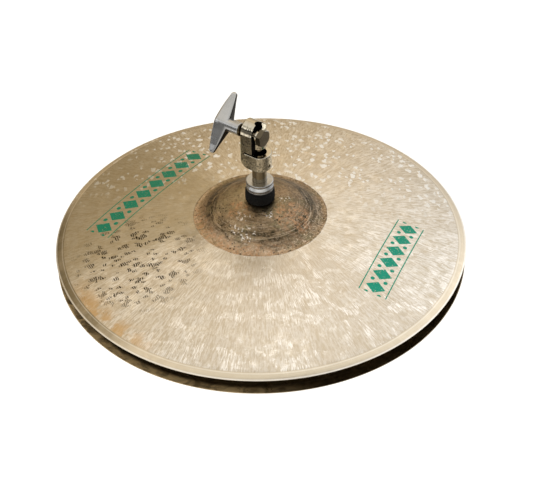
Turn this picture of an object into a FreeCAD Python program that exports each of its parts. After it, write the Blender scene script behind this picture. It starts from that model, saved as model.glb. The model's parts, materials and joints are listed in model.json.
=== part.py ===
"""A hi hat: two cymbals facing each other on a pull rod, the upper one carried by its clutch,
the lower one resting bell down on its seat.

Millimetres, +Z up. The origin is on the axis at the shoulder of the seat stem, the spigot that
a stand's upper tube takes. +X is the player's right as seen from the front, -Y is the front.
"""
import FreeCAD, Part
import math
import os

V = FreeCAD.Vector
Z_AXIS = V(0, 0, 1)
X_AXIS = V(1, 0, 0)

# ---- cymbals -------------------------------------------------------------------------------
CYMBAL_R = 177.8            # a 14 inch cymbal
CYMBAL_THICK = 1.1          # measured vertically
BOW_RISE = 20.3             # from the rim's top edge to the foot of the bell
BELL_RISE = 15.9            # from the foot of the bell to its flat crown
BELL_FLAT_R = 13.5          # flat of the crown that the felts bear on
BELL_CROWN_R = 55.0         # radius of the bell's arc in section
BELL_FOOT_R = 12.0          # radius of the hollow where bell meets bow
BOW_START_DEG = 4.6         # slope of the bow where it leaves the bell
CYMBAL_HOLE_R = 6.65
OPEN_GAP = 13.0             # between the two rims with the pedal up

# ---- seat under the lower cymbal ------------------------------------------------------------
STEM_R = 8.0
STEM_LENGTH = 25.0
STEM_CHAMFER = 0.8
SPIGOT_LENGTH = 8.0         # of the stem, inside the seat cup
CUP_BOSS_R = 12.0
CUP_BOSS_HEIGHT = 9.0
CUP_R = 20.5
CUP_FLOOR = 3.0
CUP_LIP = 2.5
CUP_WALL = 1.6
CUP_CHAMFER = 1.0
CUP_FLARE = 2.0             # of the boss, where it widens into the cup
SEAT_WASHER_THICK = 1.2
SEAT_FELT_THICK = 8.0
SEAT_FELT_EDGE = 1.5
SLEEVE_R = 6.2              # guide sleeve that keeps the lower cymbal central
SLEEVE_ABOVE_BELL = 11.0
SLEEVE_CHAMFER = 1.2
BUSH_R = 5.2
BUSH_LENGTH = 13.0

# ---- pull rod --------------------------------------------------------------------------------
ROD_R = 3.0
ROD_BELOW_STEM = 30.0       # free end that the pedal linkage holds
ROD_END_CHAMFER = 0.6
ROD_RELIEF_R = 2.5          # groove where the linkage's thread ends
ROD_RELIEF = 1.5
ROD_BORE_R = 3.6            # clear hole round the rod
ROD_GRIP_DEPTH = 9.5        # the rod stops this far under the top of the clutch head

# ---- clutch: tube, nuts and felts -------------------------------------------------------------
TUBE_R = 6.25
TUBE_IN_COLLAR = 6.5
FELT_R = 12.5
FELT_THICK = 11.6
FELT_LOW_EDGE = 1.6         # rounding of the upper felt's edges
FELT_TOP_EDGE = 2.8
LOWER_FELT_THICK = 8.0
LOWER_FELT_EDGE = 0.8
WASHER_R = 11.5
WASHER_THICK = 1.0
WASHER_EDGE = 0.3
NUT_R = 11.7
NUT_THICK = 4.6
NUT_EDGE = 0.6
NUT_RIM = 2.0               # height of the nut's plain rim, under its bevel
RING_GAP = 0.7              # groove between the nut and its lock ring
RING_NECK_R = 9.4
RING_R = 11.7
RING_THICK = 2.2
TUBE_BARE = 14.5            # tube in view between the lock ring and the collar
LOWER_NUT_FLATS = 20.0
LOWER_NUT_THICK = 9.0
LOWER_NUT_CHAMFER = 1.4
CHAMFER_SLOPE = 0.6         # rise of a hexagon's corner chamfer for its width
INSERT_R = 8.4
INSERT_THICK = 2.2
TUBE_TAIL = 1.4             # tube standing out under the lower nut

# ---- clutch: collar and clamp head -------------------------------------------------------------
COLLAR_R = 10.5
COLLAR_HEIGHT = 13.8
COLLAR_EDGE = 0.6
COLLAR_BORE_R = 6.4
SCREW_R = 1.6
SCREW_LENGTH = 2.6
SCREW_SUNK = 1.5
SCREW_RISE = 3.4            # of its axis above the collar's lower edge
SCREW_AZIMUTH = -38.0
HEAD_TURN_DEG = -37.0       # the clamp bolt's direction about Z, from +X
HEAD_HALF_WIDTH = 9.6       # to the flats, and the radius of the rounded head
HEAD_LEFT = -12.5           # outer face that the wing nut bears on
HEAD_RIGHT = 6.3            # outer face that the bolt's head bears on
HEAD_CENTRE = 18.4          # height of the rounding's centre above the collar
HEAD_EDGE = 1.4
HEAD_HEEL_R = 8.5           # rounded lower corner under the wing nut
SLIT = 1.6                  # saw cut between collar and head
SLIT_UNCUT = 4.3            # web left beside the head's outer face
SLOT_LEFT = -0.5            # the clamp's slot, across the bolt
SLOT_RIGHT = 1.1
JAW_R = 6.6                 # right jaw, round the rod
JAW_FOOT = 6.2              # its lower end above the collar
JAW_SLOPE_DEG = 50.0
JAW_SLOPE_BACK = 0.5        # the slope starts this far below the head's top
JAW_RIM_R = 4.3             # shallow step round the rod's bore on the slope
JAW_RIM_DEPTH = 0.7
LUG_R = 4.2
LUG_LEFT = 3.2

# ---- clamp bolt and wing nut -------------------------------------------------------------------
BOLT_FORWARD = 6.3          # of the bolt's axis, in front of the rod
BOLT_RISE = 20.3            # of the bolt's axis, above the collar
BOLT_R = 2.5
BOLT_TIP_CHAMFER = 0.6
BOLT_HEAD_FLATS = 13.0
BOLT_HEAD_THICK = 4.5
BOLT_HEAD_CHAMFER = 0.8
BOLT_PAST_HEAD = 18.0       # shank beyond the head's outer face
WING_WASHER_R = 5.5
WING_WASHER_THICK = 0.8
BOSS_R = 5.5
BOSS_LENGTH = 10.6
WING_CHORD = 13.8           # along the bolt, at the middle
WING_HALF_SPAN = 26.6
WING_OUTER_SWEEP = 4.6      # how far the outer edge falls back towards the tips
WING_INNER_SWEEP = 5.2      # how far the inner edge leans away from the clamp
WING_TIP = 2.0              # rounding height of a tip
WING_TIP_THICK = 2.0
WING_SHOULDER = 0.3         # half height of its thick middle, as a share of the boss's radius
WING_WAIST_AT = 0.5         # share of the half span where the flank's curve is set
WING_WAIST = 0.44           # share of the middle's extra thickness that is left there
WING_TURN_DEG = -41.0       # how the wing stands, about the bolt
WING_BORE_DEPTH = 20.5

# ---- clearances ---------------------------------------------------------------------------------
SOFT_GAP = 0.3              # felt to cymbal, and round what lies in the seat cup
FACE_GAP = 0.1              # between flats of pieces that turn on each other
THREAD_CLEAR = 0.08         # on a piece that turns on a thread
FIT_CLEAR = 0.03            # on a piece fixed to its neighbour
ROD_CLEAR = 0.1             # round the rod, in its bush and in the clamp
OVERCUT = 1.0               # how far a cutting shape runs past what it cuts

# ---- heights, from the stem's shoulder up --------------------------------------------------------
CYMBAL_HEIGHT = CYMBAL_THICK + BOW_RISE + BELL_RISE
cup_floor_z = CUP_BOSS_HEIGHT + CUP_FLOOR
seat_felt_z = cup_floor_z + SEAT_WASHER_THICK
lower_crown_z = seat_felt_z + SEAT_FELT_THICK + SOFT_GAP
lower_rim_z = lower_crown_z + CYMBAL_HEIGHT
upper_rim_z = lower_rim_z + OPEN_GAP
upper_crown_z = upper_rim_z + CYMBAL_HEIGHT
felt_z = upper_crown_z + SOFT_GAP
washer_z = felt_z + FELT_THICK + FACE_GAP
nut_z = washer_z + WASHER_THICK + FACE_GAP
ring_z = nut_z + NUT_THICK + RING_GAP
collar_z = ring_z + RING_THICK + TUBE_BARE
collar_top_z = collar_z + COLLAR_HEIGHT
head_centre_z = collar_top_z + HEAD_CENTRE
bolt_z = collar_top_z + BOLT_RISE
rod_top_z = head_centre_z + HEAD_HALF_WIDTH - ROD_GRIP_DEPTH
lower_felt_top_z = upper_crown_z - CYMBAL_THICK - SOFT_GAP
lower_washer_top_z = lower_felt_top_z - LOWER_FELT_THICK - FACE_GAP
lower_nut_top_z = lower_washer_top_z - WASHER_THICK - FACE_GAP
lower_nut_z = lower_nut_top_z - LOWER_NUT_THICK
tube_foot_z = lower_nut_z - TUBE_TAIL
wing_washer_x = HEAD_LEFT - FACE_GAP - WING_WASHER_THICK
boss_x = wing_washer_x - FACE_GAP
wing_inner_x = boss_x - BOSS_LENGTH
wing_outer_x = wing_inner_x - WING_CHORD


def tube(outer, inner, low, high):
    """A plain ring about Z."""
    ring = Part.makeCylinder(outer, high - low, V(0, 0, low))
    return ring.cut(Part.makeCylinder(inner, high - low, V(0, 0, low)))


def turned(points):
    """A closed outline of (radius, height) points turned about Z."""
    outline = Part.makePolygon([V(r, 0, z) for r, z in points + points[:1]])
    return Part.Face(outline).revolve(V(0, 0, 0), Z_AXIS, 360)


def rounded_ring(outer, inner, low, high, low_edge, high_edge):
    """A ring about Z with its outer lower and outer upper edges rounded."""
    ring = tube(outer, inner, low, high)
    for height, radius in ((low, low_edge), (high, high_edge)):
        if radius > 0:
            edges = [e for e in ring.Edges if is_circle(e, outer, height)]
            ring = ring.makeFillet(radius, edges)
    return ring


def is_circle(edge, radius, height):
    """Whether an edge is a circle of this radius at this height."""
    curve = edge.Curve
    return (isinstance(curve, Part.Circle) and abs(curve.Radius - radius) < 1e-6
            and abs(curve.Center.z - height) < 1e-6)


def hexagon(flats, low, high):
    """A hexagonal prism about Z with a corner towards +X."""
    corner = flats / math.sqrt(3)
    ring = [V(corner * math.cos(math.radians(a)), corner * math.sin(math.radians(a)), low)
            for a in range(0, 361, 60)]
    return Part.Face(Part.makePolygon(ring)).extrude(V(0, 0, high - low))


def chamfer_cone(radius, low, high, chamfer, both=True):
    """The turned blank that a chamfered hexagon is cut from."""
    foot = radius - chamfer if both else radius
    rise = chamfer * CHAMFER_SLOPE
    return turned([(0, low), (foot, low), (radius, low + rise if both else low),
                   (radius, high - rise), (radius - chamfer, high), (0, high)])


def along_bolt(shape):
    """Takes a shape about Z to the bolt's axis: +Z becomes +X of the head."""
    shape.rotate(V(0, 0, 0), V(0, 1, 0), 90)
    shape.translate(V(0, -BOLT_FORWARD, bolt_z))
    return shape


def turn_with_head(shape):
    """Turns a shape about Z from +X to the way the clamp bolt points."""
    shape.rotate(V(0, 0, 0), Z_AXIS, HEAD_TURN_DEG)
    return shape


# ---- cymbals -------------------------------------------------------------------------------------
def surface_edges(lift):
    """The section of the cymbal's upper face from hole to rim, raised by lift, as tangent arcs."""
    crown = CYMBAL_HEIGHT + lift
    bow = math.radians(BOW_START_DEG)
    reach = BELL_CROWN_R + BELL_FOOT_R
    steep = math.acos((BELL_CROWN_R + BELL_FOOT_R * math.cos(bow) - BELL_RISE) / reach)

    def on_crown(a):
        return V(BELL_FLAT_R + BELL_CROWN_R * math.sin(a), 0,
                 crown - BELL_CROWN_R * (1 - math.cos(a)))

    foot = on_crown(steep)

    def on_foot(a):
        return V(foot.x + BELL_FOOT_R * (math.sin(steep) - math.sin(a)), 0,
                 foot.z - BELL_FOOT_R * (math.cos(a) - math.cos(steep)))

    start, rim = on_foot(bow), V(CYMBAL_R, 0, CYMBAL_THICK + lift)
    chord = math.atan2(start.z - rim.z, rim.x - start.x)
    half = chord - bow
    sagitta = start.distanceToPoint(rim) / 2 * math.tan(half / 2)
    middle = (start + rim) * 0.5 + V(math.sin(chord), 0, math.cos(chord)) * sagitta
    return [Part.LineSegment(V(CYMBAL_HOLE_R, 0, crown), on_crown(0)).toShape(),
            Part.Arc(on_crown(0), on_crown(steep / 2), foot).toShape(),
            Part.Arc(foot, on_foot((steep + bow) / 2), start).toShape(),
            Part.Arc(start, middle, rim).toShape()]


def cymbal():
    """A cymbal lying bell up with its rim's lower edge at height 0."""
    top, under = surface_edges(0), surface_edges(-CYMBAL_THICK)
    edge = Part.LineSegment(V(CYMBAL_R, 0, CYMBAL_THICK), V(CYMBAL_R, 0, 0)).toShape()
    bore = Part.LineSegment(V(CYMBAL_HOLE_R, 0, CYMBAL_HEIGHT - CYMBAL_THICK),
                            V(CYMBAL_HOLE_R, 0, CYMBAL_HEIGHT)).toShape()
    wire = Part.Wire(Part.__sortEdges__(top + under + [edge, bore]))
    return Part.Face(wire).revolve(V(0, 0, 0), Z_AXIS, 360)


def top_cymbal():
    plate = cymbal()
    plate.translate(V(0, 0, upper_rim_z))
    return plate


def bottom_cymbal():
    plate = cymbal()
    plate.rotate(V(0, 0, 0), X_AXIS, 180)
    plate.translate(V(0, 0, lower_rim_z))
    return plate


# ---- seat ------------------------------------------------------------------------------------------
def seat_stem():
    spigot_r = SLEEVE_R
    body = turned([(ROD_BORE_R, -STEM_LENGTH), (STEM_R - STEM_CHAMFER, -STEM_LENGTH),
                   (STEM_R, -STEM_LENGTH + STEM_CHAMFER), (STEM_R, 0), (spigot_r, 0),
                   (spigot_r, SPIGOT_LENGTH), (ROD_BORE_R, SPIGOT_LENGTH)])
    seat = Part.makeCylinder(BUSH_R + FIT_CLEAR, BUSH_LENGTH, V(0, 0, -STEM_LENGTH))
    return body.cut(seat)


def rod_bush():
    return tube(BUSH_R, ROD_R + ROD_CLEAR, -STEM_LENGTH, -STEM_LENGTH + BUSH_LENGTH)


def seat_cup():
    hole = SLEEVE_R + FIT_CLEAR
    low, lip = CUP_BOSS_HEIGHT, cup_floor_z + CUP_LIP
    return turned([(hole, 0), (CUP_BOSS_R - CUP_CHAMFER, 0), (CUP_BOSS_R, CUP_CHAMFER),
                   (CUP_BOSS_R, low - CUP_FLARE), (CUP_BOSS_R + CUP_FLARE, low),
                   (CUP_R - CUP_CHAMFER, low), (CUP_R, low + CUP_CHAMFER), (CUP_R, lip),
                   (CUP_R - CUP_WALL, lip), (CUP_R - CUP_WALL, cup_floor_z),
                   (hole, cup_floor_z)])


def seat_washer():
    return tube(CUP_R - CUP_WALL - SOFT_GAP, CYMBAL_HOLE_R, cup_floor_z, seat_felt_z)


def seat_felt():
    return rounded_ring(CUP_R - CUP_WALL - 2 * SOFT_GAP, CYMBAL_HOLE_R, seat_felt_z,
                        seat_felt_z + SEAT_FELT_THICK, 0, SEAT_FELT_EDGE)


def guide_sleeve():
    top = lower_crown_z + CYMBAL_THICK + SLEEVE_ABOVE_BELL
    return turned([(ROD_BORE_R, SPIGOT_LENGTH), (SLEEVE_R, SPIGOT_LENGTH),
                   (SLEEVE_R, top - SLEEVE_CHAMFER), (SLEEVE_R - SLEEVE_CHAMFER, top),
                   (ROD_BORE_R, top)])


def pull_rod():
    low = -STEM_LENGTH - ROD_BELOW_STEM
    tip = ROD_R - ROD_END_CHAMFER
    groove = -STEM_LENGTH - ROD_RELIEF
    return turned([(0, low), (tip, low), (ROD_R, low + ROD_END_CHAMFER),
                   (ROD_R, groove - ROD_RELIEF), (ROD_RELIEF_R, groove - ROD_RELIEF),
                   (ROD_RELIEF_R, groove), (ROD_R, groove),
                   (ROD_R, rod_top_z - ROD_END_CHAMFER), (tip, rod_top_z), (0, rod_top_z)])


# ---- clutch tube, felts and nuts ----------------------------------------------------------------------
def clutch_tube():
    return tube(TUBE_R, ROD_BORE_R, tube_foot_z, collar_z + TUBE_IN_COLLAR)


def upper_felt():
    return rounded_ring(FELT_R, CYMBAL_HOLE_R, felt_z, felt_z + FELT_THICK, FELT_LOW_EDGE,
                        FELT_TOP_EDGE)


def lower_felt():
    low = lower_felt_top_z - LOWER_FELT_THICK
    return rounded_ring(FELT_R, CYMBAL_HOLE_R, low, lower_felt_top_z, LOWER_FELT_EDGE,
                        LOWER_FELT_EDGE)


def felt_washer():
    return rounded_ring(WASHER_R, TUBE_R + THREAD_CLEAR, washer_z, washer_z + WASHER_THICK,
                        WASHER_EDGE, WASHER_EDGE)


def adjusting_nut():
    """Round nut, bevelled up to the neck that its lock ring sits on."""
    bore = TUBE_R + THREAD_CLEAR
    top = nut_z + NUT_THICK
    nut = turned([(bore, nut_z), (NUT_R, nut_z), (NUT_R, nut_z + NUT_RIM), (RING_NECK_R, top),
                  (RING_NECK_R, ring_z), (bore, ring_z)])
    rims = [e for e in nut.Edges
            if is_circle(e, NUT_R, nut_z) or is_circle(e, NUT_R, nut_z + NUT_RIM)]
    return nut.makeFillet(NUT_EDGE, rims)


def lock_ring():
    return rounded_ring(RING_R, TUBE_R + THREAD_CLEAR, ring_z, ring_z + RING_THICK,
                        NUT_EDGE, NUT_EDGE)


def lower_washer():
    return rounded_ring(WASHER_R, TUBE_R + THREAD_CLEAR, lower_washer_top_z - WASHER_THICK,
                        lower_washer_top_z, WASHER_EDGE, WASHER_EDGE)


def lower_nut():
    blank = chamfer_cone(LOWER_NUT_FLATS / math.sqrt(3), lower_nut_z, lower_nut_top_z,
                         LOWER_NUT_CHAMFER)
    nut = hexagon(LOWER_NUT_FLATS, lower_nut_z, lower_nut_top_z).common(blank)
    nut = nut.cut(Part.makeCylinder(TUBE_R + THREAD_CLEAR, LOWER_NUT_THICK,
                                    V(0, 0, lower_nut_z)))
    return nut.cut(Part.makeCylinder(INSERT_R, INSERT_THICK, V(0, 0, lower_nut_z)))


def lock_insert():
    return tube(INSERT_R - FIT_CLEAR, TUBE_R + THREAD_CLEAR, lower_nut_z,
                lower_nut_z + INSERT_THICK)


# ---- clutch head ------------------------------------------------------------------------------------------
def collar():
    """The round collar with its front and back milled flat, and the head's foot beside it."""
    w = HEAD_HALF_WIDTH
    ring = Part.makeCylinder(COLLAR_R, COLLAR_HEIGHT, V(0, 0, collar_z))
    foot = Part.makeBox(-HEAD_LEFT, 2 * w, COLLAR_HEIGHT, V(HEAD_LEFT, -w, collar_z))
    flats = Part.makeBox(4 * COLLAR_R, 2 * w, COLLAR_HEIGHT, V(-2 * COLLAR_R, -w, collar_z))
    return ring.fuse(foot).common(flats)


def head_section(left, right, low):
    """The head's outline across the bolt, flat sided and round on top, drawn out along it."""
    w, mid = HEAD_HALF_WIDTH, head_centre_z
    arc = Part.Arc(V(left, w, mid), V(left, 0, mid + w), V(left, -w, mid)).toShape()
    sides = [Part.LineSegment(V(left, -w, mid), V(left, -w, low)).toShape(),
             Part.LineSegment(V(left, -w, low), V(left, w, low)).toShape(),
             Part.LineSegment(V(left, w, low), V(left, w, mid)).toShape()]
    wire = Part.Wire(Part.__sortEdges__([arc] + sides))
    return Part.Face(wire).extrude(V(right - left, 0, 0))


def heel():
    """What is cut away to round the lower corner under the wing nut."""
    wide = 4 * HEAD_HALF_WIDTH
    side = HEAD_HEEL_R + OVERCUT
    corner = Part.makeBox(side, wide, side,
                          V(HEAD_LEFT - OVERCUT, -wide / 2, collar_z - OVERCUT))
    rounding = Part.makeCylinder(HEAD_HEEL_R, wide,
                                 V(HEAD_LEFT + HEAD_HEEL_R, -wide / 2, collar_z + HEAD_HEEL_R),
                                 V(0, 1, 0))
    return corner.cut(rounding)


def right_jaw():
    """The wall that wraps the rod, sloped off towards the front, and the lug for the bolt."""
    low = collar_top_z + JAW_FOOT
    top = head_centre_z + HEAD_HALF_WIDTH
    wall = Part.makeCylinder(JAW_R, top - low, V(0, 0, low))
    wall = wall.common(head_section(SLOT_LEFT - OVERCUT, HEAD_RIGHT, low))
    slope = Part.makeBox(4 * JAW_R, 4 * JAW_R, 2 * JAW_R, V(-2 * JAW_R, -4 * JAW_R, 0))
    step = Part.makeCylinder(JAW_RIM_R, 2 * JAW_R,
                             V(0, -ROD_R / math.cos(math.radians(JAW_SLOPE_DEG)),
                               -JAW_RIM_DEPTH))
    tools = slope.fuse(step)
    tools.rotate(V(0, 0, 0), X_AXIS, JAW_SLOPE_DEG)
    tools.translate(V(0, ROD_R, top - JAW_SLOPE_BACK))
    lug = Part.makeCylinder(LUG_R, HEAD_RIGHT - LUG_LEFT,
                            V(LUG_LEFT, -BOLT_FORWARD, bolt_z), X_AXIS)
    return wall.cut(tools).fuse(lug)


def clutch_body():
    jaw = head_section(HEAD_LEFT, SLOT_LEFT, collar_top_z)
    body = collar().fuse(jaw).removeSplitter()
    outer_end = [e for e in body.Edges
                 if abs(e.BoundBox.XMax - HEAD_LEFT) < 1e-6 and e.BoundBox.ZMax > collar_z + 1]
    body = body.makeFillet(HEAD_EDGE, outer_end).cut(heel()).fuse(right_jaw())
    tall = 4 * HEAD_CENTRE
    slit_x = HEAD_LEFT + SLIT_UNCUT
    cuts = [Part.makeCylinder(ROD_R + ROD_CLEAR, tall, V(0, 0, collar_z)),
            Part.makeCylinder(TUBE_R + FIT_CLEAR, TUBE_IN_COLLAR, V(0, 0, collar_z)),
            Part.makeCylinder(COLLAR_BORE_R, COLLAR_HEIGHT - TUBE_IN_COLLAR + SLIT,
                              V(0, 0, collar_z + TUBE_IN_COLLAR)),
            Part.makeBox(2 * COLLAR_R - slit_x, 4 * COLLAR_R, SLIT,
                         V(slit_x, -2 * COLLAR_R, collar_top_z)),
            Part.makeBox(SLOT_RIGHT - SLOT_LEFT, 2 * COLLAR_R, tall,
                         V(SLOT_LEFT, -2 * COLLAR_R, collar_top_z)),
            Part.makeCylinder(BOLT_R + THREAD_CLEAR, 4 * COLLAR_R,
                              V(-2 * COLLAR_R, -BOLT_FORWARD, bolt_z), X_AXIS)]
    for tool in cuts:
        body = body.cut(tool)
    body = body.removeSplitter()
    body = body.makeFillet(COLLAR_EDGE, [e for e in body.Edges if on_collar_rim(e, slit_x)])
    turn_with_head(body)
    return body.cut(screw_path(SCREW_R + FIT_CLEAR, COLLAR_R + OVERCUT, TUBE_R))


def on_collar_rim(edge, slit_x):
    """Whether an edge runs round the outside of the collar's upper end."""
    box = edge.BoundBox
    level = abs(box.ZMax - collar_top_z) < 1e-6 and abs(box.ZMin - collar_top_z) < 1e-6
    middle = edge.valueAt((edge.FirstParameter + edge.LastParameter) / 2)
    outside = math.hypot(middle.x, middle.y) > COLLAR_BORE_R + 1
    return level and outside and middle.x > slit_x + 0.01


def screw_path(radius, outer, inner):
    """A cylinder on the collar screw's axis between two distances from the clutch's axis."""
    across = math.radians(SCREW_AZIMUTH)
    out = V(math.cos(across), math.sin(across), 0)
    return Part.makeCylinder(radius, outer - inner,
                             out * inner + V(0, 0, collar_z + SCREW_RISE), out)


def collar_screw():
    """Hexagon-socket grub screw sunk in the collar, against the tube."""
    outer = COLLAR_R - SCREW_SUNK
    screw = screw_path(SCREW_R, outer, outer - SCREW_LENGTH)
    socket = hexagon(SCREW_R, 0, SCREW_LENGTH)
    socket.rotate(V(0, 0, 0), V(0, 1, 0), 90)
    socket.rotate(V(0, 0, 0), Z_AXIS, SCREW_AZIMUTH)
    across = math.radians(SCREW_AZIMUTH)
    start = outer - SCREW_LENGTH / 2
    socket.translate(V(start * math.cos(across), start * math.sin(across),
                       collar_z + SCREW_RISE))
    return screw.cut(socket)


# ---- clamp bolt and wing nut ------------------------------------------------------------------------------
def clamp_bolt():
    blank = chamfer_cone(BOLT_HEAD_FLATS / math.sqrt(3), 0, BOLT_HEAD_THICK,
                         BOLT_HEAD_CHAMFER, both=False)
    head = hexagon(BOLT_HEAD_FLATS, 0, BOLT_HEAD_THICK).common(blank)
    head.rotate(V(0, 0, 0), Z_AXIS, 180)
    reach = HEAD_RIGHT - HEAD_LEFT + BOLT_PAST_HEAD
    shank = turned([(0, -reach), (BOLT_R - BOLT_TIP_CHAMFER, -reach),
                    (BOLT_R, -reach + BOLT_TIP_CHAMFER), (BOLT_R, 0), (0, 0)])
    bolt = head.fuse(shank).removeSplitter()
    bolt.translate(V(0, 0, HEAD_RIGHT))
    return turn_with_head(along_bolt(bolt))


def wing_washer():
    washer = rounded_ring(WING_WASHER_R, BOLT_R + THREAD_CLEAR, wing_washer_x,
                          wing_washer_x + WING_WASHER_THICK, WASHER_EDGE, WASHER_EDGE)
    return turn_with_head(along_bolt(washer))


def wing_plan():
    """The wing seen square on: X along the bolt, Z across the span."""
    tip_out = wing_outer_x + WING_OUTER_SWEEP
    tip_in = wing_inner_x - WING_INNER_SWEEP
    tip_mid = (tip_out + tip_in) / 2
    span, shoulder = WING_HALF_SPAN, WING_HALF_SPAN - WING_TIP
    pieces = [Part.Arc(V(tip_out, 0, shoulder), V(wing_outer_x, 0, 0),
                       V(tip_out, 0, -shoulder)),
              Part.Arc(V(tip_out, 0, -shoulder), V(tip_mid, 0, -span),
                       V(tip_in, 0, -shoulder)),
              Part.LineSegment(V(tip_in, 0, -shoulder), V(wing_inner_x, 0, -BOSS_R / 2)),
              Part.LineSegment(V(wing_inner_x, 0, -BOSS_R / 2), V(wing_inner_x, 0, BOSS_R / 2)),
              Part.LineSegment(V(wing_inner_x, 0, BOSS_R / 2), V(tip_in, 0, shoulder)),
              Part.Arc(V(tip_in, 0, shoulder), V(tip_mid, 0, span), V(tip_out, 0, shoulder))]
    wire = Part.Wire([p.toShape() for p in pieces])
    plate = Part.Face(wire).extrude(V(0, 4 * BOSS_R, 0))
    plate.translate(V(0, -2 * BOSS_R, 0))
    return plate


def wing_section():
    """The wing seen along the bolt: as thick as the boss in the middle, thin at the tips."""
    thin, span = WING_TIP_THICK / 2, WING_HALF_SPAN + OVERCUT
    waist = WING_HALF_SPAN * WING_WAIST_AT
    waist_thick = thin + (BOSS_R - thin) * WING_WAIST
    shoulder = BOSS_R * WING_SHOULDER
    start = wing_outer_x - OVERCUT

    def flank(y_side, z_side):
        return Part.Arc(V(start, y_side * BOSS_R, z_side * shoulder),
                        V(start, y_side * waist_thick, z_side * waist),
                        V(start, y_side * thin, z_side * span)).toShape()

    def end(y, z):
        return Part.LineSegment(V(start, y, z), V(start, -y, z)).toShape()

    def middle(y, z):
        return Part.LineSegment(V(start, y, z), V(start, y, -z)).toShape()

    edges = [flank(1, 1), flank(-1, 1), flank(1, -1), flank(-1, -1), end(thin, span),
             end(thin, -span), middle(BOSS_R, shoulder), middle(-BOSS_R, shoulder)]
    wire = Part.Wire(Part.__sortEdges__(edges))
    return Part.Face(wire).extrude(V(WING_CHORD + 2 * OVERCUT, 0, 0))


def wing_nut():
    wing = wing_plan().common(wing_section())
    boss = Part.makeCylinder(BOSS_R, BOSS_LENGTH + WING_CHORD / 2,
                             V(boss_x, 0, 0), V(-1, 0, 0))
    nut = wing.fuse(boss).removeSplitter()
    bore = Part.makeCylinder(BOLT_R + THREAD_CLEAR, WING_BORE_DEPTH, V(boss_x, 0, 0),
                             V(-1, 0, 0))
    nut = nut.cut(bore)
    nut.rotate(V(0, 0, 0), X_AXIS, WING_TURN_DEG)
    nut.translate(V(0, -BOLT_FORWARD, bolt_z))
    return turn_with_head(nut)


PIECES = [top_cymbal, bottom_cymbal, seat_stem, rod_bush, seat_cup, seat_washer, seat_felt,
          guide_sleeve, pull_rod, clutch_tube, upper_felt, lower_felt, felt_washer,
          adjusting_nut, lock_ring, lower_washer, lower_nut, lock_insert, clutch_body,
          collar_screw, clamp_bolt, wing_washer, wing_nut]

os.makedirs("parts", exist_ok=True)
for piece in PIECES:
    shape = piece()
    shape.exportStep(f"parts/{piece.__name__}.step")
    print(f"{piece.__name__:15} solids {len(shape.Solids)} valid {shape.isValid()} "
          f"volume {shape.Volume:10.1f}")
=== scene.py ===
"""Looks of a hi hat: two bronze cymbals on a pull rod, with the clutch that carries the upper one.

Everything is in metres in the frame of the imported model, +Z up along the rod and -Y the front.
"""

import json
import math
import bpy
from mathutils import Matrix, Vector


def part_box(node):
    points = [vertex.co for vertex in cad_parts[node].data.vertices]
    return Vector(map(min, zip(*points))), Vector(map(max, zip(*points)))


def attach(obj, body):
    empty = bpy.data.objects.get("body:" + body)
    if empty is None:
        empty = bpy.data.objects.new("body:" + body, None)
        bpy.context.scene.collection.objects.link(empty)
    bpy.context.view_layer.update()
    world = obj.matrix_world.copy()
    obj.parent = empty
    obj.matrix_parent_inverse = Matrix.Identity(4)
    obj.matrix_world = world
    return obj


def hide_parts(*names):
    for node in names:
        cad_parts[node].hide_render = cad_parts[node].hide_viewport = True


bl_info = {
    "name": "Hi Hat Looks",
    "version": (1, 0, 0),
    "blender": (4, 5, 0),
    "location": "View3D > Sidebar > Hi Hat",
    "description": "Cymbals, felts, clutch finishes and studio of a hi hat",
    "category": "Object",
}

import bmesh
import bpy
import numpy as np
from bpy.props import FloatProperty, FloatVectorProperty, IntProperty, PointerProperty
from mathutils import Matrix, Vector

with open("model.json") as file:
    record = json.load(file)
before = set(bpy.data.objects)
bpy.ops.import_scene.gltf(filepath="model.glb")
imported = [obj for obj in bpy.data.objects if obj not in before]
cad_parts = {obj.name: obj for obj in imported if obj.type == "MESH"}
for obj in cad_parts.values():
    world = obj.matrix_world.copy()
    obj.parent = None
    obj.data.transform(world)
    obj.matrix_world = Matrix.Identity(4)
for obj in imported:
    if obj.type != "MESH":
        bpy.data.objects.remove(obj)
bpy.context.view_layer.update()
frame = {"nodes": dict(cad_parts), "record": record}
MM = 0.001
TAU = math.tau
BOLT_TURN = math.radians(-37.0)     # heading of the clamp bolt about the rod
WING_TURN = math.radians(-41.0)     # how far the wing leans, seen along that bolt
HOLE = 6.65 * MM                    # radius of the hole in the cymbals and the felts
RIM_TAPER = 0.075                   # slope by which the upper face falls over the rim band

# each printed row's centre, turn, cell length, number of cells, height, and its lines' distance
PRINTED_ROWS = (((-0.0985, 0.0470), math.radians(52.2), 0.0175, 8, 0.0190, 0.0032),
                ((0.1090, -0.0520), math.radians(64.5), 0.0160, 6, 0.0170, 0.0030))
# where the bells carry painted glints: the middle and width of each patch
GLINT_PATCHES = (((0.0065, -0.0210), 0.006), ((-0.0138, -0.0204), 0.008), ((-0.0231, -0.0326), 0.007),
          ((-0.0113, -0.0385), 0.009), ((0.0212, -0.0010), 0.006))
# half thickness of the wing at shares of the way from its middle to its tips
WING_SHARES = (0.0, 0.08, 0.25, 0.5, 0.75, 1.0)
WING_THICKNESS = np.array([5.45, 5.2, 4.1, 2.85, 1.75, 1.15]) * MM


# ---- sizes and colours a user would change ----
def colour(name, description, default):
    """A colour in the sidebar."""
    return FloatVectorProperty(name=name, description=description, default=default,
                               subtype="COLOR", size=3, min=0.0, max=1.0)


def length(name, description, millimetres):
    """A length in the sidebar, told in millimetres."""
    return FloatProperty(name=name, description=description, default=millimetres * MM,
                         unit="LENGTH", subtype="DISTANCE", min=0.0, precision=5)


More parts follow.
